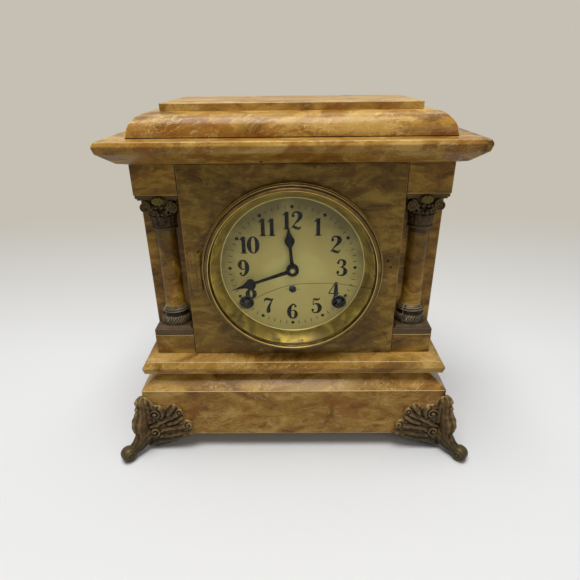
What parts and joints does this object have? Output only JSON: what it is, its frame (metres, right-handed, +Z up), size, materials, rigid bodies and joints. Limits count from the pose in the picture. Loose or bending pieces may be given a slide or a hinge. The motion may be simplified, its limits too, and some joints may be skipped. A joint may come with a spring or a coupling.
{
  "type": "mantel clock",
  "caption": "Flat-topped mantel clock with half columns, marbled lacquered case, cast scroll feet, glazed brass bezel door and a striking pendulum movement.",
  "frame": {"origin": "on the table, below the middle of the plinth", "axes": "+X to the viewer's right, +Y to the back, +Z up"},
  "size_m": [0.3354, 0.1842, 0.3163],
  "materials": {
    "amber_lacquer": "gloss lacquer with brown veins and cream swirls",
    "olive_lacquer": "gloss lacquer, darker, with amber veins",
    "bare_wood": "plain sawn wood",
    "antique_bronze": "cast, dark patina with rubbed highlights",
    "worn_brass": "lacquered brass with brown patina",
    "clear_glass": "clear flat glass",
    "cream_dial": "aged cream paint",
    "movement_brass": "brushed brass",
    "bright_steel": "polished steel",
    "blued_steel": "blued steel",
    "black_iron": "black paint on iron"
  },
  "bodies": {
    "case": {"plinth": "amber_lacquer", "lower_moulding": "amber_lacquer", "cornice": "amber_lacquer", "top_mould": "amber_lacquer", "top_plaque": "amber_lacquer", "bottom_board": "bare_wood", "case_sides": "olive_lacquer", "pedestals": "amber_lacquer", "frieze_blocks": "amber_lacquer", "front_panel": "olive_lacquer", "inner_front_board": "olive_lacquer", "back_board": "bare_wood", "foot_front_left": "antique_bronze", "foot_front_right": "antique_bronze", "foot_rear_left": "antique_bronze", "foot_rear_right": "antique_bronze", "column_base_left": "antique_bronze", "column_base_right": "antique_bronze", "column_shaft_left": "amber_lacquer", "column_shaft_right": "amber_lacquer", "column_capital_left": "antique_bronze", "column_capital_right": "antique_bronze", "bezel_hinge_leaf": "worn_brass", "back_hinge_leaf": "worn_brass", "dial": "cream_dial", "front_plate": "movement_brass", "back_plate": "movement_brass", "plate_pillars": "bright_steel", "movement_screws": "bright_steel", "time_mainspring": "blued_steel", "strike_mainspring": "blued_steel", "gong_coil": "blued_steel", "gong_base": "black_iron"},
    "bezel_door": {"bezel_ring": "worn_brass", "bezel_glass": "clear_glass", "bezel_reflector": "worn_brass"},
    "rear_door": {"back_door": "worn_brass"},
    "minute_train": {"minute_hand": "blued_steel", "hand_nut": "movement_brass", "cannon_pinion": "movement_brass"},
    "hour_train": {"hour_hand": "blued_steel", "hour_wheel": "movement_brass"},
    "minute_reduction": {"minute_wheel": "movement_brass"},
    "time_great": {"time_great_wheel": "movement_brass"},
    "time_winding": {"time_winding_arbor": "bright_steel"},
    "time_second": {"time_second_wheel": "movement_brass"},
    "time_centre": {"centre_wheel": "movement_brass"},
    "time_third": {"third_wheel": "movement_brass"},
    "escape": {"escape_wheel": "movement_brass"},
    "anchor": {"verge": "bright_steel"},
    "pendulum": {"pendulum_rod": "bright_steel", "pendulum_bob": "movement_brass"},
    "strike_great": {"strike_great_wheel": "movement_brass"},
    "strike_winding": {"strike_winding_arbor": "bright_steel"},
    "strike_second": {"strike_second_wheel": "movement_brass"},
    "strike_pins": {"pin_wheel": "movement_brass"},
    "strike_fly": {"fly": "bright_steel"},
    "strike_hammer": {"hammer": "bright_steel"},
    "regulator": {"regulator_arbor": "bright_steel"}
  },
  "joints": [
    {"name": "bezel_door_hinge", "type": "hinge", "parent": "case", "child": "bezel_door", "pos_m": [-0.0789, -0.054, 0.1845], "axis": [0, 0, -1], "range_deg": [0, 110]},
    {"name": "rear_door_hinge", "type": "hinge", "parent": "case", "child": "rear_door", "pos_m": [0.0734, 0.0698, 0.1845], "axis": [0, 0, -1], "range_deg": [0, 120]},
    {"name": "minute_turn", "type": "hinge", "parent": "case", "child": "minute_train", "pos_m": [0, 0, 0.1845], "axis": [0, 1, 0], "continuous": true},
    {"name": "hour_turn", "type": "hinge", "parent": "case", "child": "hour_train", "pos_m": [0, 0, 0.1845], "axis": [0, 1, 0], "continuous": true},
    {"name": "minute_wheel_turn", "type": "hinge", "parent": "case", "child": "minute_reduction", "pos_m": [0.0121, 0, 0.1915], "axis": [0, 1, 0], "continuous": true},
    {"name": "third_wheel_turn", "type": "hinge", "parent": "case", "child": "time_third", "pos_m": [0.016, 0, 0.205], "axis": [0, 1, 0], "continuous": true},
    {"name": "centre_wheel_turn", "type": "hinge", "parent": "case", "child": "time_centre", "pos_m": [0, 0, 0.1845], "axis": [0, 1, 0], "continuous": true},
    {"name": "escape_wheel_turn", "type": "hinge", "parent": "case", "child": "escape", "pos_m": [0, 0, 0.223], "axis": [0, 1, 0], "continuous": true},
    {"name": "time_second_turn", "type": "hinge", "parent": "case", "child": "time_second", "pos_m": [0.0225, 0, 0.171], "axis": [0, 1, 0], "continuous": true},
    {"name": "time_great_turn", "type": "hinge", "parent": "case", "child": "time_great", "pos_m": [0.0412, 0, 0.1512], "axis": [0, 1, 0], "continuous": true},
    {"name": "time_winding_turn", "type": "hinge", "parent": "time_great", "child": "time_winding", "pos_m": [0.0412, 0, 0.1512], "axis": [0, 1, 0], "continuous": true},
    {"name": "pendulum_swing", "type": "hinge", "parent": "case", "child": "pendulum", "pos_m": [0, 0.0236, 0.2463], "axis": [0, 1, 0], "range_deg": [-2.5, 2.5]},
    {"name": "anchor_rock", "type": "hinge", "parent": "case", "child": "anchor", "pos_m": [0, 0, 0.2415], "axis": [0, 1, 0], "range_deg": [-2.8, 2.8]},
    {"name": "pin_wheel_turn", "type": "hinge", "parent": "case", "child": "strike_pins", "pos_m": [-0.03, 0, 0.2005], "axis": [0, 1, 0], "continuous": true},
    {"name": "strike_second_turn", "type": "hinge", "parent": "case", "child": "strike_second", "pos_m": [-0.026, 0, 0.1745], "axis": [0, 1, 0], "continuous": true},
    {"name": "strike_great_turn", "type": "hinge", "parent": "case", "child": "strike_great", "pos_m": [-0.0412, 0, 0.1512], "axis": [0, 1, 0], "continuous": true},
    {"name": "strike_winding_turn", "type": "hinge", "parent": "strike_great", "child": "strike_winding", "pos_m": [-0.0412, 0, 0.1512], "axis": [0, 1, 0], "continuous": true},
    {"name": "fly_turn", "type": "hinge", "parent": "case", "child": "strike_fly", "pos_m": [-0.032, 0, 0.2245], "axis": [0, 1, 0], "continuous": true},
    {"name": "hammer_lift", "type": "hinge", "parent": "case", "child": "strike_hammer", "pos_m": [-0.0565, 0, 0.1885], "axis": [0, 1, 0], "range_deg": [0, 15], "stiffness_Nm_per_rad": 0.01, "springref_deg": -5.73},
    {"name": "regulator_turn", "type": "hinge", "parent": "case", "child": "regulator", "pos_m": [0, 0, 0.1641], "axis": [0, 1, 0], "range_deg": [-180, 180]}
  ],
  "couplings": [
    {"joint": "hour_turn", "follows": "minute_turn", "ratio": 0.083333},
    {"joint": "minute_wheel_turn", "follows": "minute_turn", "ratio": -0.33333},
    {"joint": "centre_wheel_turn", "follows": "third_wheel_turn", "ratio": -0.1},
    {"joint": "escape_wheel_turn", "follows": "third_wheel_turn", "ratio": -10},
    {"joint": "time_second_turn", "follows": "third_wheel_turn", "ratio": 0.016667},
    {"joint": "time_great_turn", "follows": "third_wheel_turn", "ratio": -0.0027778},
    {"joint": "anchor_rock", "follows": "pendulum_swing", "ratio": 1.1},
    {"joint": "strike_second_turn", "follows": "pin_wheel_turn", "ratio": -0.16667},
    {"joint": "strike_great_turn", "follows": "pin_wheel_turn", "ratio": 0.027778},
    {"joint": "fly_turn", "follows": "pin_wheel_turn", "ratio": -9}
  ]
}
